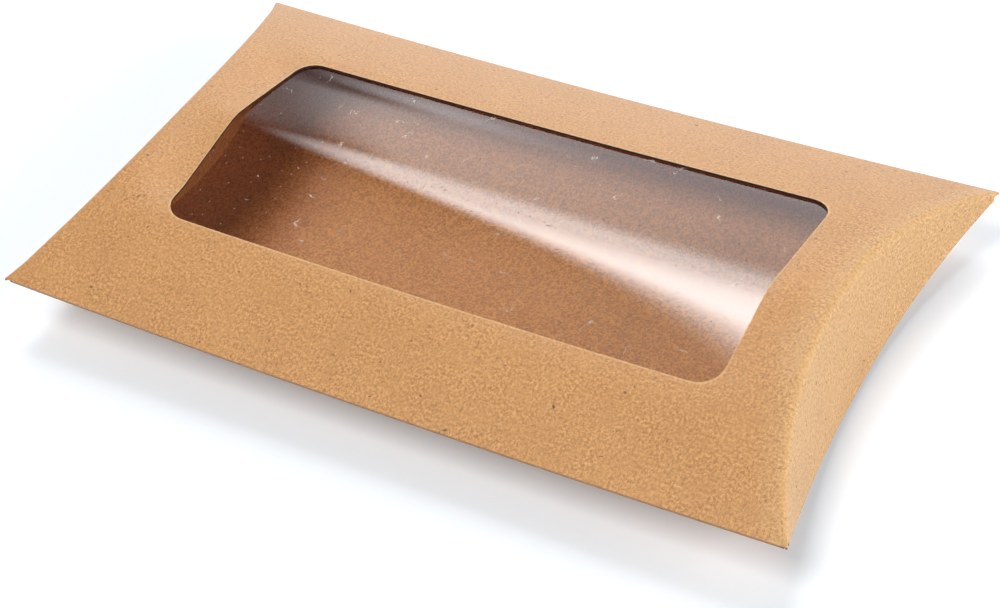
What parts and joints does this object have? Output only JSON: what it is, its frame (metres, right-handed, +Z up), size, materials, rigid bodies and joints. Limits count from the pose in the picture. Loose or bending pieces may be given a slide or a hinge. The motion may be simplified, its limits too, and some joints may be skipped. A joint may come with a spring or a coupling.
{
  "type": "kraft pillow box",
  "caption": "Folded kraft board pillow box with arched faces, curved end flaps that open, and a rounded clear film window in its upper face.",
  "frame": {"origin": "centre of the bounding box's base, on the flat of the lower belly", "axes": "+X along the box's length towards its right end, +Y from the front long fold to the back one, +Z up out of the window"},
  "size_m": [0.173, 0.1, 0.0246],
  "materials": {
    "board": "uncoated kraft board, matt, with visible fibres",
    "film": "clear glossy film"
  },
  "bodies": {
    "carton": {"carton": "board", "window_film": "film"},
    "left_flap": {"left_end_flap": "board"},
    "right_flap": {"right_end_flap": "board"}
  },
  "joints": [
    {"name": "left_flap_fold", "type": "hinge", "parent": "carton", "child": "left_flap", "pos_m": [-0.07515, 0, 0.02459], "axis": [0, 1, 0], "range_deg": [0, 90]},
    {"name": "right_flap_fold", "type": "hinge", "parent": "carton", "child": "right_flap", "pos_m": [0.07515, 0, 0.02459], "axis": [0, -1, 0], "range_deg": [0, 90]}
  ]
}
